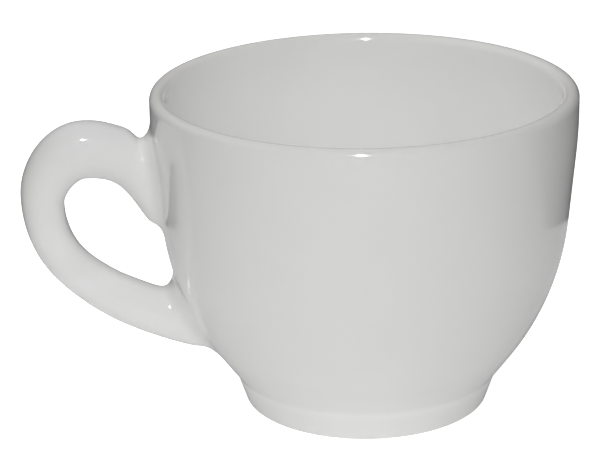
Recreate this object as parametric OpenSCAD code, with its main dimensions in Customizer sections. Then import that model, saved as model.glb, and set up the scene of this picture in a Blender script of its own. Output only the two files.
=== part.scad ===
// Espresso cup of white glazed porcelain: a jiggered bowl on a foot ring, and a cast ear handle that is
// luted to the wall with slip. The origin is the centre of the sole, +Z is up and the handle lies along -X.

/* [Bowl] */
// Outside diameter at the rim
rim_d = 65; // [56:0.5:78]
// Height from the table to the top of the lip
cup_h = 50; // [47:0.5:60]
// Thickness of the fully rounded lip
lip_t = 2.4; // [1.8:0.1:3]
// Depth below the lip where the leaning wall would reach the rim's diameter
straighten_drop = 6.5; // [6:0.5:10]
// Radius that turns the leaning wall upright below the lip
straighten_r = 75; // [30:5:90]
// How far the corner between the leaning wall and the cone below it stands in from the rim
belly_inset = 2.25; // [0.5:0.25:6]
// Height of that corner
belly_h = 18.2; // [16:0.2:20]
// Radius of the belly curve that rounds off the corner
belly_r = 41; // [20:1:44]
// Thickness of the wall at the belly
belly_t = 3.2; // [2.6:0.1:4]
// Thickness of the floor
floor_t = 4.2; // [3.2:0.1:5]
// Radius between the floor and the wall inside the bowl
floor_r = 8; // [4:0.5:10]

/* [Foot ring] */
// Diameter of the seat where the bowl meets the foot ring
seat_d = 41; // [36:0.5:48]
// Height of the seat above the table
foot_h = 4.7; // [4.2:0.1:5.6]
// How far the ring draws in from its seat to the table
foot_taper = 1.6; // [0.6:0.1:2.6]
// Width of the ring at the table, before its edges are rounded
sole_w = 3.6; // [3:0.1:4.5]
// Radius of the two edges of the sole
sole_edge_r = 0.7; // [0.4:0.1:1]
// Depth of the recess under the bowl
recess_h = 3.4; // [2.4:0.1:4]
// Slope of the recess's wall, from upright
recess_draft = 18; // [8:1:25]

/* [Handle] */
// Reach of the handle past the rim
handle_reach = 20; // [18:0.5:24]
// Distance of the top of the loop from the rim
crown_out = 10.2; // [8.5:0.1:12]
// Depth of the middle of the loop's top below the lip
crown_drop = 7.8; // [6:0.2:9]
// Depth below the lip where the loop stands furthest out
bend_drop = 15.8; // [14:0.2:18]
// Depth below the lip where the upper end meets the wall
upper_joint_drop = 16.2; // [15:0.1:17]
// Rise of the handle where it leaves the upper joint, in degrees
upper_rise = 53; // [45:1:56]
// Height where the lower end meets the wall
lower_joint_h = 13.4; // [13:0.1:16]
// Rise of the handle where it leaves the lower joint, in degrees
lower_rise = 17; // [8:1:25]
// Roundness of the run from the upper joint to the top of the loop
upper_fullness = 0.58; // [0.5:0.02:0.64]
// Roundness of the turn from the top of the loop to its outermost point
crown_fullness = 0.5; // [0.46:0.02:0.6]
// Roundness of the run from the outermost point to the lower joint
lower_fullness = 0.54; // [0.44:0.02:0.6]
// Height of the section at the upper joint, square to the loop
upper_w = 6.4; // [5.6:0.2:7.4]
// Height of the section at the top of the loop
crown_w = 8.8; // [7.4:0.2:9.6]
// Width of the section where the loop is slimmest
slim_w = 6.1; // [5:0.1:7.4]
// Height of the section at the lower joint, square to the loop
lower_w = 7.2; // [6:0.2:8]
// Depth of the section along the loop
handle_depth = 7.4; // [6:0.2:9]
// Depth of the section at the two joints
root_depth = 8.4; // [7:0.2:10]
// Squareness of the oval section, where 2 is a plain ellipse
section_power = 2.3; // [2:0.1:3]

/* [Slip joints] */
// Thickness of the slip between the wall and the handle's end
joint_t = 1.8; // [1.2:0.1:2.4]
// Width of the fillet that the slip leaves round the handle's upper end, and above and below its lower end
joint_fillet = 2.6; // [1.4:0.1:3]
// Width of the flare that the slip leaves on both sides of the handle's lower end
lower_flare = 4.8; // [1.4:0.1:5.4]
// Clearance between the wall and a joint's seat
seat_gap = 0.03; // [0.02:0.01:0.06]

/* [Hidden] */
glaze_white = [0.93, 0.93, 0.92];
weld = 0.2;
$fn = 180;

// Corners of the outside, before they are rounded, as points of radius and height
rim_r = rim_d / 2;
lip_h = cup_h - lip_t / 2;
seat = [seat_d / 2, foot_h];
belly = [rim_r - belly_inset, belly_h];
shoulder = [rim_r, cup_h - straighten_drop];
rim = [rim_r, lip_h];

// Corners of the inside: the belly corner moves in square to both walls, and the floor is level
cone_lean = lean(seat, belly);
wall_lean = lean(belly, shoulder);
floor_h = recess_h + floor_t;
belly_in = belly - belly_t / cos((cone_lean - wall_lean) / 2) * level(-(cone_lean + wall_lean) / 2);
shoulder_in = shoulder - [lip_t, 0];
rim_in = rim - [lip_t, 0];
floor_in = [belly_in.x - (belly_in.y - floor_h) * tan(cone_lean), floor_h];
floor_mid = [0, floor_h];

// Arcs that round the corners
belly_arc = round_corner(seat, belly, shoulder, belly_r);
lip_arc = round_corner(belly, shoulder, rim, straighten_r);
belly_in_arc = round_corner(floor_in, belly_in, shoulder_in, belly_r - belly_t);
lip_in_arc = round_corner(belly_in, shoulder_in, rim_in, straighten_r - lip_t);
floor_room = norm(belly_in_arc[2] - floor_in) * 0.95;
floor_arc = round_corner(floor_mid, floor_in, belly_in, min(floor_r, floor_room / tan(45 - cone_lean / 2)));

// Foot ring: corners of the sole, and the radius of the recess and of the bowl's hub that closes it
base_out = [seat.x - foot_taper, 0];
base_in = base_out - [sole_w, 0];
recess_r = base_in.x - recess_h * tan(recess_draft);
recess_top = [recess_r, recess_h];
sole_out_arc = round_corner(base_in, base_out, seat, sole_edge_r);
sole_in_arc = round_corner(recess_top, base_in, base_out, sole_edge_r);

// Place on the lower run, from 0 at the outermost point to 1 at the wall, where the loop is slimmest
slim_place = 0.35;

// Handle: the loop is three cubic curves in the plane y = 0, as points of distance from the axis and height
upper_joint_h = cup_h - upper_joint_drop;
upper_root = [r_out(upper_joint_h), upper_joint_h];
crown = [rim_r + crown_out, cup_h - crown_drop];
bend = [rim_r + handle_reach - loop_w(1) / 2, cup_h - bend_drop];
lower_root = [r_out(lower_joint_h), lower_joint_h];
upper_run = [
    upper_root,
    upper_root + upper_fullness * (crown.x - upper_root.x) * level(upper_rise),
    crown - upper_fullness * [crown.x - upper_root.x, 0],
    crown
];
crown_turn = [
    crown,
    crown + crown_fullness * [bend.x - crown.x, 0],
    bend + crown_fullness * [0, crown.y - bend.y],
    bend
];
lower_run = [
    bend,
    bend - lower_fullness * [0, bend.y - lower_root.y],
    lower_root + lower_fullness * (bend.x - lower_root.x) * level(lower_rise),
    lower_root
];
sides = 40;
upper_steps = 8;
crown_steps = 12;
lower_steps = 22;

// The handle's ends are cut parallel to the wall, one joint thickness away from it
upper_slope = wall_slope(upper_joint_h);
lower_slope = wall_slope(lower_joint_h);
upper_end = end_place(upper_run, upper_slope);
lower_end = 1 - end_place([for (k = [3:-1:0]) lower_run[k]], lower_slope);
seat_rings = 8;
fillet_steps = 5;

// Direction that rises by an angle from level
function level(angle) = [cos(angle), sin(angle)];

// Lean of the line from one point of a profile to a higher one, from upright
function lean(from, to) = atan2(to.x - from.x, to.y - from.y);

// The arc of radius r that rounds corner k between points a and b, as [centre, radius, start, end]
function round_corner(a, k, b, r) =
    let (
        u = (a - k) / norm(a - k),
        v = (b - k) / norm(b - k),
        half = acos(u * v) / 2
    )
    [k + (u + v) / norm(u + v) * r / sin(half), r, k + u * r / tan(half), k + v * r / tan(half)];

// Outer radius of the bowl at height z, along its cone, belly curve, leaning wall and turn to the lip
function r_on_line(from, to, z) = from.x + (to.x - from.x) * (z - from.y) / (to.y - from.y);
function r_on_arc(arc, z) = arc[0].x + sqrt(arc[1] ^ 2 - (z - arc[0].y) ^ 2);
function r_out(z) =
    z < belly_arc[2].y ? r_on_line(seat, belly, z)
    : z < belly_arc[3].y ? r_on_arc(belly_arc, z)
    : z < lip_arc[2].y ? r_on_line(belly, shoulder, z)
    : z < lip_arc[3].y ? r_on_arc(lip_arc, z)
    : rim_r;

// Lean of the wall at height z, from its radius a little below and above
function wall_slope(z, step = 0.05) = lean([r_out(z - step), z - step], [r_out(z + step), z + step]);

// Point of the wall on the handle's side, a seat gap off its surface
function on_wall(y, z) = [-sqrt(r_out(z) ^ 2 - y ^ 2) - seat_gap, y, z];

// Point and direction at place t on a cubic curve with four control points
function curve(c, t) =
    (1 - t) ^ 3 * c[0] + 3 * (1 - t) ^ 2 * t * c[1] + 3 * (1 - t) * t ^ 2 * c[2] + t ^ 3 * c[3];
function curve_dir(c, t) =
    let (d = (1 - t) ^ 2 * (c[1] - c[0]) + 2 * (1 - t) * t * (c[2] - c[1]) + t ^ 2 * (c[3] - c[2]))
    d / norm(d);

// First place on a run, counted from the wall, that stands a joint thickness off the wall
function end_place(run, slope, tries = 400) =
    [for (i = [1:tries]) if ((curve(run, i / tries) - run[0]) * level(-slope) >= joint_t) i / tries][0];

// Smooth step from 0 to 1, and the value between two others that it picks
function ease(t) = let (s = min(max(t, 0), 1)) s * s * (3 - 2 * s);
function between(a, b, share) = a + (b - a) * share;

// Point of a unit oval at an angle
function oval_part(v) = sign(v) * pow(abs(v), 2 / section_power);
function oval(angle) = [oval_part(cos(angle)), oval_part(sin(angle))];

// One section of the handle at place t of a run. Its height lies along axis_angle and is measured square
// to the path, so that a section turned flat against the wall grows with its slant.
function half_height(run, t, axis_angle, w) = w / 2 / abs(cross(curve_dir(run, t), level(axis_angle)));
function section(run, t, axis_angle, w, d) = [
    for (i = [0:sides - 1])
        let (
            o = oval(360 * i / sides),
            p = curve(run, t) + half_height(run, t, axis_angle, w) * o.x * level(axis_angle)
        )
        [-p.x, d / 2 * o.y, p.y]
];

// Width of the loop by its place, from 0 at the top through 1 at the outermost point to the slimmest place
function loop_w(place) = between(crown_w, slim_w, ease(place / (1 + slim_place)));
function path_angle(run, t) = let (d = curve_dir(run, t)) atan2(d.y, d.x);
function upper_section(t) =
    let (near = 1 - ease((t - upper_end) / (1 - upper_end)))
    section(
        upper_run, t, 90 - upper_slope * near,
        between(crown_w, upper_w, near), between(handle_depth, root_depth, near)
    );
function crown_section(t) =
    section(crown_turn, t, path_angle(crown_turn, t) + 90, loop_w(t), handle_depth);
function lower_section(t) =
    let (near = ease((t - slim_place) / (lower_end - slim_place)))
    section(
        lower_run, t, between(path_angle(lower_run, t) + 90, -90 - lower_slope, near),
        between(loop_w(1 + t), lower_w, near), between(handle_depth, root_depth, near)
    );

// Closed skin over a list of sections, with a tip in the middle of each end
module skin(rings, first_tip, last_tip) {
    n = len(rings[0]);
    last = n * len(rings) + 1;
    bands = [for (k = [0:len(rings) - 2], i = [0:n - 1]) [1 + k * n + i, 1 + k * n + (i + 1) % n]];
    polyhedron(
        concat([first_tip], [for (ring = rings) each ring], [last_tip]),
        concat(
            [for (i = [0:n - 1]) [0, 1 + i, 1 + (i + 1) % n]],
            [for (b = bands) [b[0], b[0] + n, b[1]]],
            [for (b = bands) [b[1], b[0] + n, b[1] + n]],
            [for (i = [0:n - 1]) [last, last - n + (i + 1) % n, last - n + i]]
        )
    );
}

// The slice of an arc's disc between its two ends, which overlaps the polygon by a weld
module arc_slice(arc) {
    start = (arc[2] - arc[0]) / arc[1];
    end = (arc[3] - arc[0]) / arc[1];
    intersection() {
        translate(arc[0]) circle(arc[1]);
        translate(arc[0]) polygon([
            start * (arc[1] - weld), start * 2 * arc[1], end * 2 * arc[1], end * (arc[1] - weld)
        ]);
    }
}

// A profile: a polygon with some of its corners cut off and rounded by arcs
module profile(points, arcs) {
    polygon(points);
    for (arc = arcs) arc_slice(arc);
}

module bowl_outside() {
    profile([
        [0, recess_h], recess_top, [recess_r, foot_h], seat,
        belly_arc[2], belly_arc[3], lip_arc[2], lip_arc[3], rim, [0, lip_h]
    ], [belly_arc, lip_arc]);
}

module bowl_inside() {
    profile([
        floor_mid, floor_arc[2], floor_arc[3], belly_in_arc[2], belly_in_arc[3],
        lip_in_arc[2], lip_in_arc[3], [rim_in.x, cup_h], [0, cup_h]
    ], [floor_arc, belly_in_arc, lip_in_arc]);
}

// Half disc that rounds the lip from the outer wall to the inner one
module lip_round() {
    intersection() {
        translate([rim_r - lip_t / 2, lip_h]) circle(lip_t / 2);
        translate([rim_in.x - lip_t, lip_h]) square([3 * lip_t, lip_t]);
    }
}

// Wall, lip and floor, with a hub below the floor that closes the recess of the foot ring
module bowl() {
    color(glaze_white) rotate_extrude() {
        difference() {
            bowl_outside();
            bowl_inside();
        }
        lip_round();
    }
}

// Tapered ring under the bowl, with a flat sole between two rounded edges
module foot_ring() {
    color(glaze_white) rotate_extrude() profile([
        recess_top, sole_in_arc[2], sole_in_arc[3], sole_out_arc[2], sole_out_arc[3], seat, [recess_r, foot_h]
    ], [sole_in_arc, sole_out_arc]);
}

// Ear-shaped loop, lofted through oval sections from one slanted end to the other
module handle() {
    rings = concat(
        [for (i = [0:upper_steps]) upper_section(between(upper_end, 1, i / upper_steps))],
        [for (i = [1:crown_steps]) crown_section(i / crown_steps)],
        [for (i = [1:lower_steps]) lower_section(lower_end * i / lower_steps)]
    );
    first = curve(upper_run, upper_end);
    last = curve(lower_run, lower_end);
    color(glaze_white) skin(rings, [-first.x, 0, first.y], [-last.x, 0, last.y]);
}

// Slip between the wall and one end of the handle: a seat laid on the wall where the end stands square to
// it, and a hollow fillet that leaves the wall flat and runs out to the end's edge
module slip_joint(end_ring, middle, slope, side_fillet) {
    root_h = middle.y + joint_t * sin(slope);
    half_h = end_ring[0].z - middle.y;
    half_d = max([for (p = end_ring) p.y]);
    wall_oval = function(half_y, half_z) [
        for (i = [0:sides - 1])
            let (o = oval(360 * i / sides))
            on_wall(half_y * o.y, root_h + half_z * o.x)
    ];
    edge_y = half_d + side_fillet;
    edge_z = half_h + joint_fillet * sign(half_h);
    foot = wall_oval(half_d, half_h);
    rings = concat(
        [for (k = [1:seat_rings]) wall_oval(edge_y * k / seat_rings, edge_z * k / seat_rings)],
        [for (k = [1:fillet_steps])
            let (
                turn = 90 * k / fillet_steps,
                base = wall_oval(between(edge_y, half_d, sin(turn)), between(edge_z, half_h, sin(turn)))
            )
            [for (i = [0:sides - 1]) base[i] + (end_ring[i] - foot[i]) * (1 - cos(turn))]]
    );
    wall_tip = on_wall(0, root_h);
    end_tip = [-middle.x, 0, middle.y];
    color(glaze_white)
        if (half_h > 0) skin(rings, wall_tip, end_tip);
        else skin([for (k = [len(rings) - 1:-1:0]) rings[k]], end_tip, wall_tip);
}

module upper_slip_joint() {
    slip_joint(upper_section(upper_end), curve(upper_run, upper_end), upper_slope, joint_fillet);
}

module lower_slip_joint() {
    slip_joint(lower_section(lower_end), curve(lower_run, lower_end), lower_slope, lower_flare);
}

bowl();
foot_ring();
handle();
upper_slip_joint();
lower_slip_joint();
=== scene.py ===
# %% [markdown]
# # An espresso cup in white glazed porcelain
# A small cup is thrown or jiggered in one body: a rounded bowl on a foot ring. The ear-shaped handle is cast
# apart and stuck on with slip, and a clear glaze then runs over everything and rounds each corner a little.
# This lesson draws the cup with arrays of points: profiles that are turned about an axis, and ovals that are
# carried along a path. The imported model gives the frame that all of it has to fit.

# %% Load the frame
import bpy
import numpy as np
from mathutils import Matrix


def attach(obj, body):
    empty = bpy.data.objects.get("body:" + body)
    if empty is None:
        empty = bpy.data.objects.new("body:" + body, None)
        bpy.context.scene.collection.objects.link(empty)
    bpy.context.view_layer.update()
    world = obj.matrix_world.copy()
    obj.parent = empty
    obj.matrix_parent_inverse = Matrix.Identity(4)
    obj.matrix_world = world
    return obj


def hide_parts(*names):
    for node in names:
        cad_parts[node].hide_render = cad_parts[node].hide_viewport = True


MM = 0.001
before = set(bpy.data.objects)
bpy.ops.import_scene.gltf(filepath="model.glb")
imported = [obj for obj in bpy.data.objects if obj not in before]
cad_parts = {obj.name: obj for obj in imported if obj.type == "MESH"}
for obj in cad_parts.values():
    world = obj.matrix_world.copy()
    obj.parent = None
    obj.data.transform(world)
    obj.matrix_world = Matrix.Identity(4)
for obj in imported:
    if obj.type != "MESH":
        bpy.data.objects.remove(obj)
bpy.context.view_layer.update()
print("nodes:", sorted(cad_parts))

# %% [markdown]
# ## From arrays to meshes
# Every piece here is a grid of points: one index runs along a profile or a path, the other runs round. A grid
# could be made with a loop over its points, but numpy makes all the points and all the faces at once.
# The sizes are in millimetres, as on a maker's drawing, and become metres when the mesh is filled.

# %% Faces of a grid


def grid_faces(rows, sides, ring=False):
    """Quads of a grid that closes round its second index, and along its first one too if ring is set."""
    i, j = np.meshgrid(np.arange(rows if ring else rows - 1), np.arange(sides), indexing="ij")
    up, on = (i + 1) % rows, (j + 1) % sides
    quads = np.stack([i * sides + j, i * sides + on, up * sides + on, up * sides + j], -1)
    return quads.reshape(-1, 4)


def end_faces(rows, sides):
    """Triangles that close the first and last row, round middle points numbered after the grid's own."""
    here = np.arange(sides)
    onward = (here + 1) % sides
    middle, top = np.full(sides, rows * sides), (rows - 1) * sides
    first = np.stack([middle, onward, here], -1)
    last = np.stack([middle + 1, top + here, top + onward], -1)
    return np.vstack([first, last])


def enclosed(points, quads, ends):
    """Six times the volume inside: the sum over all triangles of the triple product of their corners."""
    triangles = np.vstack([quads[:, :3], quads[:, [0, 2, 3]], ends])
    a, b, c = (points[triangles[:, corner]] for corner in range(3))
    return np.einsum("ij,ij->", a, np.cross(b, c))


print("3 rows of 4 sides make", len(grid_faces(3, 4)), "quads and", len(end_faces(3, 4)), "triangles")

# %% Mesh over a grid
SHARP_ANGLE = np.radians(40)


def skin(name, grid, normals=None, ring=False):
    """Closed mesh over a grid of points. Unless the grid is a ring, a point in the middle closes each end.
    With normals given, the points take them. Without, edges past the sharp angle stay sharp."""
    rows, sides = grid.shape[:2]
    points, quads, ends = grid.reshape(-1, 3), grid_faces(rows, sides, ring), np.empty((0, 3), int)
    if not ring:
        points = np.vstack([points, grid[0].mean(0), grid[-1].mean(0)])
        ends = end_faces(rows, sides)
    if enclosed(points, quads, ends) < 0:
        quads, ends = quads[:, ::-1], ends[:, ::-1]
    mesh = bpy.data.meshes.new(name)
    mesh.from_pydata((points * MM).tolist(), [], quads.tolist() + ends.tolist())
    mesh.shade_smooth()
    if normals is None:
        mesh.set_sharp_from_angle(angle=SHARP_ANGLE)
    else:
        # a normal of zero leaves a middle point the one it has
        usual = np.zeros((len(points) - rows * sides, 3))
        mesh.normals_split_custom_set_from_vertices(np.vstack([normals.reshape(-1, 3), usual]).tolist())
    piece = bpy.data.objects.new(name, mesh)
    bpy.context.collection.objects.link(piece)
    print(f"{name}: {rows} x {sides} points, {len(mesh.polygons)} faces")
    return piece


print("edges stay sharp past", round(np.degrees(SHARP_ANGLE)), "degrees")

# %% [markdown]
# ## The wall's profile
# The bowl's outside is a straight cone above the foot, a wide belly curve, a wall that leans out a little,
# and a last slow turn to upright under a round lip. The sizes come from the photograph, and they are the same
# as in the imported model. A spline could follow the outline too, but corners with radii are how such a profile
# is drawn for the jigger, and each radius can be read off.

# %% Profile with rounded corners
ARC_DEGREES, ARC_STEPS = 5, 3
SAME_PLACE = 1e-4


def toward(a, b):
    """Unit direction from a to b: their difference over its length."""
    way = np.subtract(b, a)
    return way / np.linalg.norm(way)


def straight(a, b, step):
    """Even points from a up to, but without, b."""
    count = max(int(np.linalg.norm(b - a) / step), 1)
    return a + (b - a) * (np.arange(count) / count)[:, None]


def rounded(corners, radii, step):
    """Points along a line through corners, each inner one replaced by an arc that touches both sides.
    The arc starts r / tan(half the corner's angle) before the corner, and its points turn evenly."""
    corners = np.array(corners, float)
    runs, end = [], corners[0]
    for before, corner, after, r in zip(corners, corners[1:], corners[2:], radii):
        u, v = toward(corner, before), toward(corner, after)
        half = np.arccos(u @ v) / 2
        turn = np.pi - 2 * half
        middle = corner + (u + v) / np.linalg.norm(u + v) * r / np.sin(half)
        a, b = corner + u * r / np.tan(half), corner + v * r / np.tan(half)
        steps = max(int(np.degrees(turn) / ARC_DEGREES), int(r * turn / step), ARC_STEPS)
        share = np.linspace(0, 1, steps + 1)[:, None]
        of_a, of_b = np.sin((1 - share) * turn), np.sin(share * turn)
        arc = middle + ((a - middle) * of_a + (b - middle) * of_b) / np.sin(turn)
        runs += [straight(end, a, step), arc]
        end = b
    points = np.vstack(runs + [straight(end, corners[-1], step), corners[-1:]])
    return points[np.append(True, np.linalg.norm(np.diff(points, axis=0), axis=1) > SAME_PLACE)]


rim_r, lip_h, wall_step = 32.5, 50.0, 0.5
seat, belly, shoulder = (20.5, 4.7), (30.25, 18.2), (rim_r, 43.5)
belly_round, shoulder_round = 41.0, 75.0
outside = rounded([seat, belly, shoulder, (rim_r, lip_h)], [belly_round, shoulder_round], wall_step)


def wall_r(h):
    """Outer radius of the bowl at a height, read from its profile."""
    return np.interp(h, outside[:, 1], outside[:, 0])


print("wall radius at the lip", wall_r(lip_h), "and at the belly's corner", round(wall_r(belly[1]), 2), "mm")

# %% [markdown]
# ## The crease above the foot
# Where the wall meets the foot the glaze pools, so the corner between them is a small hollow curve: the bowl
# gets the upper half of it and the foot gets the lower half. A bevel could round the corner on a joined mesh,
# but bowl and foot are pieces of their own, and so they share the points of one arc.

# %% Draw the crease
sole_edge = (18.9, 0.0)
crease_r, crease_side, crease_step, hollow_reach = 2.6, 2.0, 0.05, 1.6
foot_end = np.add(seat, crease_side * toward(seat, sole_edge))
wall_end = np.add(seat, crease_side * toward(seat, belly))
crease = rounded([foot_end, seat, wall_end], [crease_r], crease_step)
hollow = crease[np.abs(crease - seat).sum(1) < hollow_reach]
middle = len(hollow) // 2
print("hollow curve of", len(hollow), "points, from", hollow[0].round(2), "to", hollow[-1].round(2))

# %% [markdown]
# ## The bowl
# The bowl is the whole wall with its lip and floor, and the flat underside that closes the hollow of the
# foot. It could be a thin sheet with a Solidify modifier, but the wall is thicker at the belly than at the
# lip, so the profile is drawn all the way round. It starts and ends on the axis, where the mesh has poles.

# %% Turn the bowl
SHARP = 0.01


def turned(profile, sides=256):
    """Profile points (r, h) turned about the axis: x = r cos a, y = r sin a, z = h."""
    a = np.arange(sides) * 2 * np.pi / sides
    r, h = profile[:, :1], profile[:, 1:]
    return np.stack([r * np.cos(a), r * np.sin(a), h + 0 * a], -1)


recess_r, recess_h, underside_step = 14.195, 3.4, 0.8
lip_t, lip_round, floor_h = 2.4, 1.195, 7.6
lip_in = rim_r - lip_t
shoulder_in, belly_in, floor_edge = (lip_in, shoulder[1]), (27.14, 19.36), (18.65, floor_h)
shoulder_round_in, belly_round_in, floor_round = shoulder_round - lip_t, 37.8, 8.0
underside = rounded(
    [(0, recess_h), (recess_r, recess_h), (recess_r, seat[1]), hollow[middle]],
    [SHARP, SHARP], underside_step,
)
wall = rounded(
    [hollow[-1], belly, shoulder, (rim_r, lip_h),
     (lip_in, lip_h), shoulder_in, belly_in, floor_edge, (0, floor_h)],
    [belly_round, shoulder_round, lip_round,
     lip_round, shoulder_round_in, belly_round_in, floor_round], wall_step,
)
bowl_line = np.vstack([underside, hollow[middle + 1:], wall[1:]])
bowl = skin("glazed_bowl", turned(bowl_line)[1:-1])
print("bowl reaches", round(bowl_line[:, 0].max(), 2), "mm from the axis")

# %% [markdown]
# ## The foot ring and its bare sole
# The foot tapers to the table. Its sole is wiped clean before firing so that the cup doesn't stick to the
# kiln shelf, which leaves a matte ring of bare porcelain between two rolled edges of glaze. The ring could be
# one mesh with two materials, but as a piece of its own the bare ring keeps a crisp edge. It lies in a groove
# of the glazed ring.

# %% Turn the foot ring
sole_in, sole_mid, foot_step = 15.3, 17.0, 0.4
roll_h, roll_out, roll_in = 0.05, 0.62, 0.75
roll_round_out, roll_round_in, groove_round = 0.42, 0.5, 0.05
groove_out, groove_in, groove_h = sole_edge[0] - roll_out, sole_in + roll_in, 0.9
ledge_w, ledge_h, ledge_round = 0.6, 0.3, 0.3
ledge, slope_top = (recess_r + ledge_w, seat[1]), (recess_r, recess_h + ledge_h)
foot_outside = rounded(
    [(sole_mid, groove_h), (groove_out, groove_h), (groove_out, roll_h), sole_edge, hollow[0]],
    [SHARP, groove_round, roll_round_out], foot_step,
)
foot_inside = rounded(
    [hollow[middle], ledge, slope_top, (sole_in, 0),
     (groove_in, roll_h), (groove_in, groove_h), (sole_mid, groove_h)],
    [SHARP, ledge_round, roll_round_in, groove_round, SHARP], foot_step,
)
foot_line = np.vstack([foot_outside, hollow[1:middle + 1], foot_inside[1:-1]])
foot = skin("glazed_foot_ring", turned(foot_line), ring=True)
print("foot's sole from", sole_in, "to", sole_edge[0], "mm from the axis")

# %% Turn the sole ring
side_gap, top_gap, sole_step = 0.04, 0.05, 0.2
ring_out, ring_in, ring_h = groove_out - side_gap, groove_in + side_gap, groove_h - top_gap
sole_round, top_round = 0.12, 0.05
sole_line = rounded(
    [(sole_mid, 0), (ring_out, 0), (ring_out, ring_h), (ring_in, ring_h), (ring_in, 0), (sole_mid, 0)],
    [sole_round, top_round, top_round, sole_round], sole_step,
)[:-1]
sole = skin("bare_sole_ring", turned(sole_line), ring=True)
print("bare ring is", round(ring_out - ring_in, 2), "mm wide")

# %% [markdown]
# ## The path of the handle
# The ear leaves the wall upwards, turns over its crown, is widest below it and comes back to the belly almost
# level. Three cubic curves that share their directions draw it. One circle and a straight arm would be
# simpler, but the real loop is fuller at its crown than at its lower arm.

# %% Cubic curves


def cubic(points, t):
    """Place on a cubic curve: each of the four points weighs by its share of (1 - t + t) cubed."""
    a, b, c, d = (np.array(p, float) for p in points)
    t = np.asarray(t)[:, None]
    return (1 - t) ** 3 * a + 3 * (1 - t) ** 2 * t * b + 3 * (1 - t) * t ** 2 * c + t ** 3 * d


def heading(points, t):
    """Unit direction of the cubic curve: the sum of its three steps, weighed by (1 - t + t) squared."""
    a, b, c = np.diff(np.array(points, float), axis=0)
    t = np.asarray(t)[:, None]
    way = (1 - t) ** 2 * a + 2 * (1 - t) * t * b + t ** 2 * c
    return way / np.linalg.norm(way, axis=1, keepdims=True)


def slant(degrees):
    """Unit direction that rises by an angle from level: its cosine along and its sine up."""
    return np.array([np.cos(np.radians(degrees)), np.sin(np.radians(degrees))])


print("a slant of 30 degrees rises by", round(slant(30)[1], 2))

# %% Draw the loop
upper_h, lower_h = 33.8, 13.4
upper_rise, lower_rise = 53, 17
crown, bend_h, handle_reach = np.array([42.7, 42.2]), 34.2, 52.46
crown_w, slim_w, slim_place = 8.8, 6.1, 0.35
upper_fullness, crown_fullness, lower_fullness = 0.58, 0.5, 0.54


def ease(t):
    """Smooth step from 0 to 1: three t squared less two t cubed."""
    t = np.clip(t, 0, 1)
    return t ** 2 * (3 - 2 * t)


def between(a, b, share):
    """Value that goes from a to b as the share goes from 0 to 1."""
    return a + (b - a) * share


def loop_w(place):
    """Width of the arm, eased from the crown at place 0 through the bend at 1 to its slimmest after that."""
    return between(crown_w, slim_w, ease(place / (1 + slim_place)))


bend = np.array([handle_reach - loop_w(1) / 2, bend_h])
upper_root, lower_root = np.array([wall_r(upper_h), upper_h]), np.array([wall_r(lower_h), lower_h])
upper_pull = upper_fullness * (crown - upper_root)
crown_pull = crown_fullness * np.abs(crown - bend)
lower_pull = lower_fullness * (bend - lower_root)
upper_run = [upper_root, upper_root + upper_pull[0] * slant(upper_rise), crown - [upper_pull[0], 0], crown]
crown_turn = [crown, crown + [crown_pull[0], 0], bend + [0, crown_pull[1]], bend]
lower_run = [bend, bend - [0, lower_pull[1]], lower_root + lower_pull[0] * slant(lower_rise), lower_root]
print("loop from", upper_root.round(2), "over", crown, "and", bend.round(2), "to", lower_root.round(2))

# %% [markdown]
# ## The oval that is carried along the path
# The section is a slightly squared oval. In the arm it stands square to the path. Towards each end it leans
# until it lies flat against the wall, and it grows with its slant so that the arm keeps its width. Such a
# loft could be a curve with a bevel, but a bevel can't lean its section.

# %% Ovals on a path
SIDES, SQUARENESS = 96, 2.3
around = np.arange(SIDES) * 2 * np.pi / SIDES
oval = np.stack([np.sign(f(around)) * np.abs(f(around)) ** (2 / SQUARENESS) for f in (np.cos, np.sin)])


def ovals(run, t, axis, width, depth):
    """Ovals at places t of a run, their height along an axis given in degrees.
    Half the height is half the width over the sine of the angle between path and axis."""
    way = slant(axis).T
    along = heading(run, t)
    half = width / 2 / np.abs(along[:, 0] * way[:, 1] - along[:, 1] * way[:, 0])
    spots = cubic(run, t)[:, None] + (half[:, None] * oval[0])[..., None] * way[:, None]
    return np.stack([-spots[..., 0], depth[:, None] / 2 * oval[1], spots[..., 1]], -1)


def turn_of(run, t):
    """Angle of the path's side in degrees, a quarter turn ahead of its heading."""
    way = heading(run, t)
    return np.degrees(np.arctan2(way[:, 1], way[:, 0])) + 90


print("oval of", SIDES, "points, its corners reach", np.hypot(*oval).max().round(2), "times its half height")

# %% Where the handle ends
joint_t, slope_span, tries = 1.8, 0.3, 2001


def wall_slope(h):
    """Lean of the wall at a height in degrees from upright: its tangent is the radius's growth per height."""
    return np.degrees(np.arctan2(wall_r(h + slope_span) - wall_r(h - slope_span), 2 * slope_span))


def off_wall(run, slope):
    """First place on a run, counted from the wall, that stands one joint thickness off the wall."""
    t = np.linspace(0, 1, tries)
    return t[np.argmax((cubic(run, t) - run[0]) @ slant(-slope) >= joint_t)]


upper_slope, lower_slope = wall_slope(upper_h), wall_slope(lower_h)
upper_end, lower_end = off_wall(upper_run, upper_slope), 1 - off_wall(lower_run[::-1], lower_slope)
print("wall leans by", upper_slope.round(1), "and", lower_slope.round(1), "degrees at the handle's ends")

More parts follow.
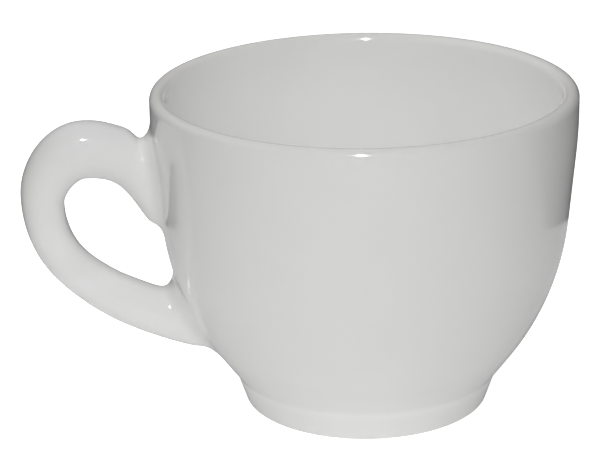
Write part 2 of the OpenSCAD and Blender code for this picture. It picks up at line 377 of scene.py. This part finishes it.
# %% Carry the oval
upper_w, lower_w, arm_depth, root_depth = 6.4, 7.2, 7.4, 8.4
upper_count, crown_count, lower_count = 60, 60, 130
t = np.linspace(upper_end, 1, upper_count)
near = 1 - ease((t - upper_end) / (1 - upper_end))
width, depth = between(crown_w, upper_w, near), between(arm_depth, root_depth, near)
upper_arm = ovals(upper_run, t, 90 - upper_slope * near, width, depth)
t = np.linspace(0, 1, crown_count + 1)[1:]
crown_arm = ovals(crown_turn, t, turn_of(crown_turn, t), loop_w(t), np.full_like(t, arm_depth))
t = np.linspace(0, lower_end, lower_count + 1)[1:]
near = ease((t - slim_place) / (lower_end - slim_place))
axis = between(turn_of(lower_run, t), -90 - lower_slope, near)
width, depth = between(loop_w(1 + t), lower_w, near), between(arm_depth, root_depth, near)
lower_arm = ovals(lower_run, t, axis, width, depth)
arm = np.concatenate([upper_arm, crown_arm, lower_arm])
arm_out, arm_up = -arm[..., 0].min(), arm[..., 2].max()
print("arm of", len(arm), "ovals, reaching", arm_out.round(2), "mm out and", arm_up.round(2), "mm up")

# %% [markdown]
# ## The slip joints
# Slip squeezes out round each end of the handle and is wiped to a hollow fillet that leaves the wall flat.
# A bevel between arm and wall could do that on a joined mesh, but here each joint is a piece of its own. So
# the fillets are rows that carry on from the arm's grid, and their first row is tucked into the wall.

# %% Add the fillets
FILLET_ROWS, TUCK = 22, 0.05


def on_wall(y, h):
    """Points of the wall at (y, h) on the handle's side: x squared is the radius squared less y squared."""
    return np.stack([-np.sqrt(wall_r(h) ** 2 - y ** 2), y, h], -1)


def fillet_rows(end, slope, width, side_width):
    """Rows from the wall to an end oval, a quarter turn of an ellipse. Along the wall they shrink from the
    widened oval by the sine, and off it they rise by one less the cosine, so they leave the wall flat."""
    centre = end.mean(0)
    root_h = centre[2] + joint_t * np.sin(np.radians(slope))
    half_h, half_d = end[0, 2] - centre[2], end[:, 1].max()
    turn = np.linspace(0, np.pi / 2, FILLET_ROWS)[:-1, None]
    wide_h = half_h + width * (1 - np.sin(turn)) * np.sign(half_h)
    wide_d = half_d + side_width * (1 - np.sin(turn))
    rise = end - on_wall(half_d * oval[1], root_h + half_h * oval[0])
    rows = on_wall(wide_d * oval[1], root_h + wide_h * oval[0]) + rise * (1 - np.cos(turn))[..., None]
    rows[0, :, 0] += TUCK
    return rows


upper_flare, lower_flare, lower_side_flare, arm_rows = 2.8, 2.8, 5.0, 8
upper_rows = fillet_rows(arm[0], upper_slope, upper_flare, upper_flare)
lower_rows = fillet_rows(arm[-1], lower_slope, lower_flare, lower_side_flare)[::-1]
loft = np.concatenate([upper_rows, arm, lower_rows])
upper_cut, lower_cut = len(upper_rows) + arm_rows, len(loft) - len(lower_rows) - arm_rows
print("loft:", loft.shape, "to be parted at rows", upper_cut, "and", lower_cut)

# %% [markdown]
# ## Soft edges and a hand's touch
# A wet sponge and the glaze take the sharpness off the joints, and the arm is never quite even: it has faint
# lumps of a few hundredths of a millimetre, which show only in its highlights. The softening is a running
# mean along the rows, and the lumps are two sine waves along the arm that fade out at the joints. Sculpting
# would do, but it can't be repeated. Only then is the grid parted into three pieces. They share their
# normals, and at the wall they take the wall's, so no seam shows.

# %% Soften the loft


def softened(grid, share, rounds):
    """Each inner row moves towards the mean of its two neighbours by its share, a number of times."""
    for _ in range(rounds):
        inner = grid[1:-1] + share[1:-1, None, None] * ((grid[:-2] + grid[2:]) / 2 - grid[1:-1])
        grid = np.concatenate([grid[:1], inner, grid[-1:]])
    return grid


firm_rows, rounds, softness = 6, 14, 0.9
soft_start, soft_end, soft_fall = 8, 48, 16
row = np.arange(len(loft))
from_joint = np.minimum(row, len(loft) - 1 - row) - firm_rows
soft_share = np.clip(from_joint / soft_start, 0, 1) * np.clip((soft_end - from_joint) / soft_fall, 0, 1)
soft_loft = softened(loft, softness * soft_share, rounds)
print("softening moves points by up to", np.linalg.norm(soft_loft - loft, axis=-1).max().round(2), "mm")

# %% Wave the loft


def grid_normals(grid):
    """Unit normals: the cross product of the grid's two directions, turned away from each row's middle."""
    along = np.gradient(grid, axis=0)
    across = np.roll(grid, -1, 1) - np.roll(grid, 1, 1)
    normal = np.cross(along, across)
    normal /= np.linalg.norm(normal, axis=-1, keepdims=True)
    away = grid - grid.mean(1, keepdims=True)
    return normal * np.sign((normal * away).sum(-1).sum(1))[:, None, None]


length = np.append(0, np.cumsum(np.linalg.norm(np.diff(soft_loft.mean(1), axis=0), axis=1)))[:, None]


def wave(wave_length, twist):
    """Sine of the length along the arm over the wave length, with a phase that changes round the section."""
    return np.sin(2 * np.pi * length / wave_length + twist)


short_wave, short_height, short_twist = 3.1, 0.012, 1.1 * np.sin(around + 0.6)
long_wave, long_height, long_twist = 11.3, 0.03, 2.1 * np.cos(around)
upper_share, lower_from, lower_over = 0.25, 0.45, 0.2
lumps_from, lumps_over = 26, 30
lower_part = ease((length / length[-1] - lower_from) / lower_over)
short_lumps = short_height * (wave(short_wave, short_twist) * between(upper_share, 1, lower_part))
long_lumps = long_height * wave(long_wave, long_twist)
lumps = ease((from_joint[:, None] - lumps_from) / lumps_over) * (short_lumps + long_lumps)
loft = soft_loft + lumps[..., None] * grid_normals(soft_loft)
print("lumps from", lumps.min().round(3), "to", lumps.max().round(3), "mm")

# %% Part the loft


def wall_normals(grid):
    """Unit normals of the wall beside points: outwards by the cosine of the wall's lean, down by its sine."""
    lean = np.radians(wall_slope(grid[..., 2]))
    level = grid[..., :2] / np.linalg.norm(grid[..., :2], axis=-1, keepdims=True)
    return np.concatenate([level * np.cos(lean)[..., None], -np.sin(lean)[..., None]], -1)


edge_rows = 9
off_edge = ease((from_joint[:, None, None] + firm_rows) / edge_rows)
normals = grid_normals(loft) * off_edge + wall_normals(loft) * (1 - off_edge)
normals /= np.linalg.norm(normals, axis=-1, keepdims=True)
handle = skin("glazed_handle", loft[upper_cut:lower_cut + 1], normals[upper_cut:lower_cut + 1])
upper_joint = skin("glazed_upper_slip_joint", loft[:upper_cut + 1], normals[:upper_cut + 1])
lower_joint = skin("glazed_lower_slip_joint", loft[lower_cut:], normals[lower_cut:])

# %% [markdown]
# ## Where the glaze is thick and thin
# Glaze runs off the lip and gathers in hollows. Each point of a piece gets two numbers that the finish reads
# later:
# one for pooled glaze, which also carries a painted highlight along the crease and round the joints, and one
# for thin glaze. They could be painted as textures, but they follow from the shape: the first falls off with
# the distance from the crease and from the joints, and the second with the distance from the top of the lip.

# %% Mark pool and thin
# round the joints the pool mark is pooled glaze and also a painted highlight
joint_pool_and_highlight, joint_bell, crease_bell, lip_bell = 0.8, 1.6, 1.1, 0.9
handle_side, lip_zone = -10, 28


def bell(distance, width):
    """Bell curve of a distance: e to the power of less the square of distance over width."""
    return np.exp(-(distance / width) ** 2)


def near_joint(points, edge):
    """How near points are to a joint's edge: the bell curve of their distance from its oval, seen along x."""
    centre, half = edge.mean(0), np.ptp(edge, axis=0) / 2
    offset = (points - centre) / half
    from_oval = (np.hypot(offset[:, 1], offset[:, 2]) - 1) * half[1]
    return (points[:, 0] < handle_side) * bell(from_oval, joint_bell)


def mark(piece):
    """Writes the two marks, pooled glaze with its painted highlight and thin glaze, to a piece's points."""
    points = np.empty(len(piece.data.vertices) * 3, np.float32)
    piece.data.vertices.foreach_get("co", points)
    points = points.reshape(-1, 3) / MM
    radius = np.hypot(points[:, 0], points[:, 1])
    at_crease = bell(np.hypot(radius - seat[0], points[:, 2] - seat[1]), crease_bell)
    at_joints = joint_pool_and_highlight * np.maximum(near_joint(points, loft[0]), near_joint(points, loft[-1]))
    # the pool mark: pooled glaze, and a painted highlight along the crease and round the joints
    marks = {"pool_and_highlight": np.maximum(at_crease, at_joints),
             "thin": bell(points[:, 2] - lip_h, lip_bell) * (radius > lip_zone)}
    for name, values in marks.items():
        piece.data.attributes.new(name, "FLOAT", "POINT").data.foreach_set("value", values.astype(np.float32))
    print(piece.name, "has", ", ".join(f"{name} up to {values.max():.2f}" for name, values in marks.items()))


for piece in (bowl, foot, handle, upper_joint, lower_joint):
    mark(piece)

# %% [markdown]
# ## Shared effects of the fired clay
# Fired clay has a tone that drifts a little from place to place, rare dark specks of iron, and a surface that
# is never quite flat. Both the glazed body and the bare sole have them, each in its own strength, so they are
# node groups with inputs. Flat colour would be quicker, but white porcelain without drift looks like plastic.

# %% Node helpers
FLOAT, COLOUR, VECTOR = "NodeSocketFloat", "NodeSocketColor", "NodeSocketVector"


def new_group(name, inputs, outputs):
    """An empty shader node group with named sockets, and its two end nodes."""
    group = bpy.data.node_groups.new(name, "ShaderNodeTree")
    for label, kind, value in inputs:
        socket = group.interface.new_socket(label, in_out="INPUT", socket_type=kind)
        if value is not None:
            socket.default_value = value
    for label, kind in outputs:
        group.interface.new_socket(label, in_out="OUTPUT", socket_type=kind)
    return group, group.nodes.new("NodeGroupInput"), group.nodes.new("NodeGroupOutput")


def add(tree, kind, links=(), **settings):
    """A node with its settings and its input values or links, given as pairs of input and value or socket."""
    node = tree.nodes.new(kind)
    for key, value in settings.items():
        setattr(node, key, value)
    for place, value in links:
        if isinstance(value, bpy.types.NodeSocket):
            tree.links.new(value, node.inputs[place])
        else:
            node.inputs[place].default_value = value
    return node


print("socket kinds:", FLOAT, COLOUR, VECTOR)

# %% Short forms of three nodes


def maths(tree, operation, *values, **settings):
    """Result of a Math node's operation on values or sockets."""
    return add(tree, "ShaderNodeMath", enumerate(values), operation=operation, **settings).outputs[0]


def mapped(tree, value, start=0.0, end=1.0, low=0.0, high=1.0):
    """Value that goes evenly from low to high as another goes from start to end, and is held past them."""
    links = [("Value", value), ("From Min", start), ("From Max", end), ("To Min", low), ("To Max", high)]
    return add(tree, "ShaderNodeMapRange", links).outputs["Result"]


def mixed(tree, share, colour, other):
    """Colour that goes from one to another by a share."""
    links = [("Factor", share), ("A", colour), ("B", other)]
    return add(tree, "ShaderNodeMix", links, data_type="RGBA").outputs["Result"]


print("short forms of the Math, Map Range and Mix nodes: maths, mapped and mixed")

# %% Drift of the tone
drift, drift_in, drift_out = new_group(
    "tone_drift",
    [("Vector", VECTOR, None), ("Colour", COLOUR, (0.7, 0.7, 0.7, 1)), ("Other", COLOUR, (0.6, 0.6, 0.6, 1)),
     ("Size", FLOAT, 60.0), ("Amount", FLOAT, 0.5)],
    [("Colour", COLOUR)],
)
given = drift_in.outputs
clouds = add(drift, "ShaderNodeTexNoise", [("Vector", given["Vector"]), ("Scale", given["Size"]),
                                            ("Detail", 3.0), ("Roughness", 0.55)])
share = maths(drift, "MULTIPLY", mapped(drift, clouds.outputs["Fac"], start=0.35, end=0.65), given["Amount"])
drift.links.new(mixed(drift, share, given["Colour"], given["Other"]), drift_out.inputs["Colour"])
print("group", drift.name, "has", len(drift.nodes), "nodes")

# %% Specks of iron
specks, specks_in, specks_out = new_group(
    "fired_specks",
    [("Vector", VECTOR, None), ("Grid", FLOAT, 250.0), ("Size", FLOAT, 0.06), ("Rarity", FLOAT, 0.9)],
    [("Mask", FLOAT)],
)
given = specks_in.outputs
cells = add(specks, "ShaderNodeTexVoronoi", [("Vector", given["Vector"]), ("Scale", given["Grid"])])
chance = add(specks, "ShaderNodeSeparateColor", [("Color", cells.outputs["Color"])])
chosen = maths(specks, "GREATER_THAN", chance.outputs["Red"], given["Rarity"])
dot = mapped(specks, cells.outputs["Distance"], start=given["Size"], end=0.0)
specks.links.new(maths(specks, "MULTIPLY", chosen, dot), specks_out.inputs["Mask"])
print("group", specks.name, "has", len(specks.nodes), "nodes")

# %% Ripple of a surface
ripple, ripple_in, ripple_out = new_group(
    "surface_ripple",
    [("Vector", VECTOR, None), ("Broad", FLOAT, 250.0), ("Fine", FLOAT, 2500.0), ("Fine Share", FLOAT, 0.1)],
    [("Height", FLOAT)],
)
given = ripple_in.outputs
at = given["Vector"]
swell = add(ripple, "ShaderNodeTexNoise", [("Vector", at), ("Scale", given["Broad"]), ("Detail", 1.0)])
grain = add(ripple, "ShaderNodeTexNoise", [("Vector", at), ("Scale", given["Fine"]), ("Detail", 2.0)])
fine = maths(ripple, "MULTIPLY", grain.outputs["Fac"], given["Fine Share"])
ripple.links.new(maths(ripple, "ADD", swell.outputs["Fac"], fine), ripple_out.inputs["Height"])
print("group", ripple.name, "has", len(ripple.nodes), "nodes")

# %% [markdown]
# ## Glazed porcelain
# The body is a neutral, slightly warm white under a clear glossy glaze. Where the glaze pools in the crease and
# round the joints it is a touch cooler, and it is lighter there as a painted highlight. On the lip, where it is
# thin, the body shows a little warmer. The gloss is a low roughness that varies with faint smears, and a faint
# ripple bends the highlights. A coat over a matte body could be the glaze, but one glossy shader looks the same
# on white and is simpler.

# %% Glaze material


def new_material(name):
    """A material with one Principled shader, and the piece's own coordinates."""
    material = bpy.data.materials.new(name)
    material.use_nodes = True
    tree = material.node_tree
    place = add(tree, "ShaderNodeTexCoord")
    return material, tree, tree.nodes["Principled BSDF"], place.outputs["Object"]


def rippled(tree, shader, at, strength, depth, broad, fine, fine_share):
    """Bends a shader's normal by the ripple, with a strength and a depth in millimetres."""
    links = [("Vector", at), ("Broad", broad), ("Fine", fine), ("Fine Share", fine_share)]
    height = add(tree, "ShaderNodeGroup", links, node_tree=ripple).outputs["Height"]
    bump = add(tree, "ShaderNodeBump", [("Strength", strength), ("Distance", depth * MM), ("Height", height)])
    tree.links.new(bump.outputs["Normal"], shader.inputs["Normal"])


white, duller_white = (0.825, 0.825, 0.815, 1), (0.805, 0.806, 0.799, 1)
# the pool colour: the cooler tint of pooled glaze, and lighter as a painted highlight
pool_and_highlight_white, thin_white, iron_brown = (0.860, 0.867, 0.865, 1), (0.800, 0.790, 0.768, 1), (0.32, 0.28, 0.23, 1)
glaze, tree, shader, at = new_material("white_glaze")
body = add(tree, "ShaderNodeGroup", [("Vector", at), ("Colour", white), ("Other", duller_white),
                                     ("Size", 55.0), ("Amount", 0.9)], node_tree=drift)
pool_and_highlight = add(tree, "ShaderNodeAttribute", attribute_name="pool_and_highlight").outputs["Fac"]
thin = add(tree, "ShaderNodeAttribute", attribute_name="thin").outputs["Fac"]
iron = add(tree, "ShaderNodeGroup", [("Vector", at), ("Grid", 190.0), ("Size", 0.035), ("Rarity", 0.93)],
           node_tree=specks).outputs["Mask"]
colour = body.outputs["Colour"]
# the pool mix lightens crease and joints: partly pooled glaze, partly a painted highlight
for mask, strength, other in ((pool_and_highlight, 0.55, pool_and_highlight_white), (thin, 0.5, thin_white), (iron, 0.5, iron_brown)):
    colour = mixed(tree, maths(tree, "MULTIPLY", mask, strength), colour, other)
tree.links.new(colour, shader.inputs["Base Color"])
smear = add(tree, "ShaderNodeTexNoise", [("Vector", at), ("Scale", 120.0), ("Detail", 4.0)])
roughness = mapped(tree, smear.outputs["Fac"], start=0.3, end=0.75, low=0.045, high=0.1)
tree.links.new(roughness, shader.inputs["Roughness"])
rippled(tree, shader, at, strength=0.35, depth=0.06, broad=230.0, fine=1400.0, fine_share=0.06)
shader.inputs["IOR"].default_value = 1.52
print("material", glaze.name, "has", len(tree.nodes), "nodes")

# %% [markdown]
# ## Bare porcelain
# The sole is unglazed: ivory, matte, finely grained, and a little grey where it has been rubbed on tables. It
# could be the glaze with a higher roughness, but bare clay also has a coarser grain and more specks, so it
# takes the same groups with values of its own.

# %% Bare material
ivory, darker_ivory = (0.70, 0.672, 0.615, 1), (0.60, 0.575, 0.53, 1)
rubbed_grey, bare_iron = (0.42, 0.41, 0.395, 1), (0.25, 0.2, 0.15, 1)
bare, tree, shader, at = new_material("bare_clay")
body = add(tree, "ShaderNodeGroup", [("Vector", at), ("Colour", ivory), ("Other", darker_ivory),
                                     ("Size", 260.0), ("Amount", 0.8)], node_tree=drift)
rub = add(tree, "ShaderNodeTexNoise", [("Vector", at), ("Scale", 700.0), ("Detail", 5.0), ("Roughness", 0.7)])
rubbed = mapped(tree, rub.outputs["Fac"], start=0.5, end=0.72, high=0.5)
greyed = mixed(tree, rubbed, body.outputs["Colour"], rubbed_grey)
iron = add(tree, "ShaderNodeGroup", [("Vector", at), ("Grid", 900.0), ("Size", 0.16), ("Rarity", 0.9)],
           node_tree=specks).outputs["Mask"]
tree.links.new(mixed(tree, iron, greyed, bare_iron), shader.inputs["Base Color"])
rippled(tree, shader, at, strength=0.5, depth=0.05, broad=1500.0, fine=9000.0, fine_share=0.6)
shader.inputs["Roughness"].default_value = 0.78
print("material", bare.name, "has", len(tree.nodes), "nodes")

# %% [markdown]
# ## Pieces on the frame
# Each piece stands for a node of the imported model, whose own mesh is hidden, moves with its body, takes its
# finish and prints the slot of that finish. The calls could be written out for each piece, but a table of pairs
# shows which piece stands for which node.

# %% Ride and replace
stands_for = {bowl: "bowl", foot: "foot_ring", sole: "foot_ring", handle: "handle",
              upper_joint: "upper_slip_joint", lower_joint: "lower_slip_joint"}
for piece, node in stands_for.items():
    finish, slot = (bare, "bare_porcelain") if piece is sole else (glaze, "glazed_porcelain")
    piece.data.materials.append(finish)
    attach(piece, "root")
    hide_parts(node)
    print(piece.name, "stands for", node, "in", slot)

# %% [markdown]
# ## Floor and room
# The cup stands on a plain pale floor in a plain room. White glaze on a white ground needs dark to mirror at
# its edges, so in reflections the room is dark and the floor is bright only in a circle round the cup. The
# circle ends sharply behind the cup, fades slowly towards the viewer and the handle, and is dimmer under the
# belly, where the cup keeps the light off. Cards round the cup would do the same, but they would show in the
# picture. From below the floor is clear, so that the sole can be looked at.

# %% Floor
floor_reach = 3.0
floor_corners = floor_reach * np.array([(-1, -1, 0), (1, -1, 0), (1, 1, 0), (-1, 1, 0)])
floor_mesh = bpy.data.meshes.new("floor")
floor_mesh.from_pydata(floor_corners.tolist(), [], [(0, 1, 2, 3)])
floor = bpy.data.objects.new("floor", floor_mesh)
bpy.context.collection.objects.link(floor)
pale, tree, shader, at = new_material("pale_floor")
floor_mesh.materials.append(pale)
shader.inputs["Base Color"].default_value = (0.9, 0.9, 0.9, 1)
shader.inputs["Roughness"].default_value = 0.6
shader.inputs["Specular IOR Level"].default_value = 0.2
shader.inputs["Emission Color"].default_value = (1, 1, 1, 1)
print("floor reaches", floor_reach, "m each way")

# %% Bright circle of the floor
front_y, edge_start, edge_end = -0.060, 0.089, 0.091
far = add(tree, "ShaderNodeVectorMath", [(0, at)], operation="LENGTH").outputs["Value"]
place = add(tree, "ShaderNodeSeparateXYZ", [("Vector", at)]).outputs


def circle(along, back_y, front_start, front_end, within, past):
    """Value over the floor that goes from one within a circle to another past it. Along runs from the front
    to the back, and the edge narrows on the way, from its start and end in front to a sharp edge behind."""
    start = mapped(tree, along, front_y, back_y, front_start, edge_start)
    end = mapped(tree, along, front_y, back_y, front_end, edge_end)
    return mapped(tree, far, start, end, within, past)


bright, dark, belly_shade, handle_share = 0.52, 0.03, 0.65, 0.5
beyond = circle(place["Y"], back_y=0.030, front_start=0.020, front_end=0.300, within=0.0, past=1.0)
# in reflections a place on the handle's side counts as further in front, so the light reaches further there
handle_side_x = maths(tree, "MINIMUM", place["X"], 0.0)
along = maths(tree, "MULTIPLY_ADD", handle_side_x, handle_share, place["Y"])
level = circle(along, back_y=0.010, front_start=0.030, front_end=0.400, within=bright, past=dark)
under_belly = mapped(tree, far, start=0.036, end=0.060, low=belly_shade)
mirrored_floor = add(tree, "ShaderNodeEmission", [("Strength", maths(tree, "MULTIPLY", level, under_belly))])
print("mirrored floor goes from", bright, "in the circle to", dark, "past it")

# %% What each ray sees of the floor
ray = add(tree, "ShaderNodeLightPath").outputs
glow = mapped(tree, ray["Is Camera Ray"], low=0.265, high=0.75)
tree.links.new(glow, shader.inputs["Emission Strength"])
# the camera sees the plain floor, reflections see the mirrored one, and so does bounced light past the circle
past_light = maths(tree, "SUBTRACT", beyond, ray["Is Camera Ray"], use_clamp=True)
mirrored = maths(tree, "MAXIMUM", past_light, ray["Is Glossy Ray"])


def either(share, shader, other):
    """Surface that goes from one shader to another by a share."""
    return add(tree, "ShaderNodeMixShader", [(0, share), (1, shader.outputs[0]), (2, other.outputs[0])])


from_above = either(mirrored, shader, mirrored_floor)
from_below = add(tree, "ShaderNodeBsdfTransparent")
back_face = add(tree, "ShaderNodeNewGeometry").outputs["Backfacing"]
surface = either(back_face, from_above, from_below)
tree.links.new(surface.outputs[0], tree.nodes["Material Output"].inputs["Surface"])
print("material", pale.name, "has", len(tree.nodes), "nodes")

# %% Room
room_light, mirrored_room = 0.25, 0.04
world = bpy.data.worlds.new("studio")
world.use_nodes = True
bpy.context.scene.world = world
tree = world.node_tree
room = tree.nodes["Background"]
room.inputs["Color"].default_value = (1, 1, 1, 1)
ray = add(tree, "ShaderNodeLightPath").outputs
strength = mapped(tree, ray["Is Glossy Ray"], low=room_light, high=mirrored_room)
tree.links.new(strength, room.inputs["Strength"])
bpy.context.scene.view_settings.view_transform = "Standard"
print("room light", room_light, "in reflections", mirrored_room)

# %% [markdown]
# ## Camera
# The photograph's view was found by matching the rim, the lip, the crease and the sole: a long lens, 355 mm
# from the cup's middle and 20 degrees above it, with the handle turned a little towards the viewer. The cup's
# middle is right of the picture's middle. A lens shift could put it there, but a real camera is panned.

# %% Camera
WIDTH, HEIGHT, SENSOR = 600, 450, 36.0
distance, elevation, towards, roll = 355.0, np.radians(20.02), np.radians(8.0), np.radians(-0.45)
focal_px, target_px, middle_h = 2289.0, (364.8, 242.3), 24.9
level_way = np.array([np.sin(towards), np.cos(towards), 0.0])
ahead = level_way * np.cos(elevation) - [0, 0, np.sin(elevation)]
right = np.array([np.cos(towards), -np.sin(towards), 0.0])
up = np.cross(right, ahead)
spot = -distance * ahead + [0, 0, middle_h]
aim = np.array([(target_px[0] - WIDTH / 2) / focal_px, -(target_px[1] - HEIGHT / 2) / focal_px, 1.0])
aim /= np.linalg.norm(aim)


def spun(a, b, angle):
    """Two directions square to each other, turned in their plane: a towards b by the angle, b with it."""
    return a * np.cos(angle) + b * np.sin(angle), b * np.cos(angle) - a * np.sin(angle)


right, ahead = spun(right, ahead, np.arctan2(aim[0], aim[2]))
up, ahead = spun(up, ahead, np.arcsin(aim[1]))
right, up = spun(right, up, roll)
print("camera at", np.round(spot, 1), "mm, looks along", np.round(ahead, 3))

# %% Place the camera


def posed(thing, axes, place):
    """Puts a lamp or camera into the scene: its three axes and its place are the columns of its matrix."""
    pose = np.eye(4)
    pose[:3] = np.column_stack([*axes, np.array(place) * MM])
    thing.matrix_world = Matrix(pose.tolist())
    bpy.context.collection.objects.link(thing)


lens = bpy.data.cameras.new("camera")
lens.sensor_fit, lens.sensor_width, lens.lens = "HORIZONTAL", SENSOR, focal_px / WIDTH * SENSOR
lens.clip_start, lens.clip_end = 0.01, 20.0
camera = bpy.data.objects.new("camera", lens)
posed(camera, (right, up, -ahead), spot)
bpy.context.scene.camera = camera
print("lens of", round(lens.lens, 1), "mm")

# %% [markdown]
# ## Lamps
# The light is soft, from wide panels: one at the camera, one high in front, one behind, and a small weak one
# in the cup's mouth. The glaze doesn't mirror them. A small bright lamp over the camera gives the sharp
# sparks on lip and handle, and only those. One big panel would light the cup too, but without small sparks.

# %% Lamps


def panel(name, place, target, size, watts):
    """A rectangular lamp with its place and target in millimetres and its size in metres.
    Its back points away from the target, and its side is level: the cross product of upright and back."""
    lamp = bpy.data.lights.new(name, "AREA")
    lamp.shape, lamp.energy = "RECTANGLE", watts
    lamp.size, lamp.size_y = size
    thing = bpy.data.objects.new(name, lamp)
    thing.visible_camera = False
    back = toward(target, place)
    side = np.cross([0.0, 0.0, 1.0], back)
    side /= np.linalg.norm(side)
    posed(thing, (side, np.cross(back, side), back), place)
    return thing


bowl_middle = (0, 0, 25)
front = panel("front_panel", spot + 75 * up - 12 * right, bowl_middle, size=(0.20, 0.15), watts=0.41)
high = panel("high_panel", (-40, -200, 420), target=(0, 0, 20), size=(0.20, 0.20), watts=0.335)
back = panel("back_panel", (-100, 210, 250), target=(-40, 0, 20), size=(0.20, 0.20), watts=0.305)
mouth = panel("mouth_panel", (-3, -20, 43), target=(4, 28, 36), size=(0.036, 0.014), watts=0.0012)
mouth.data.spread = np.radians(150)
for soft_lamp in (front, high, back, mouth):
    soft_lamp.visible_glossy = False
spark = panel("spark_lamp", spot + 110 * up - 10 * right, bowl_middle, size=(0.010, 0.030), watts=2.0)
spark.visible_diffuse = False
print("lamps:", front.name, high.name, back.name, mouth.name, spark.name)
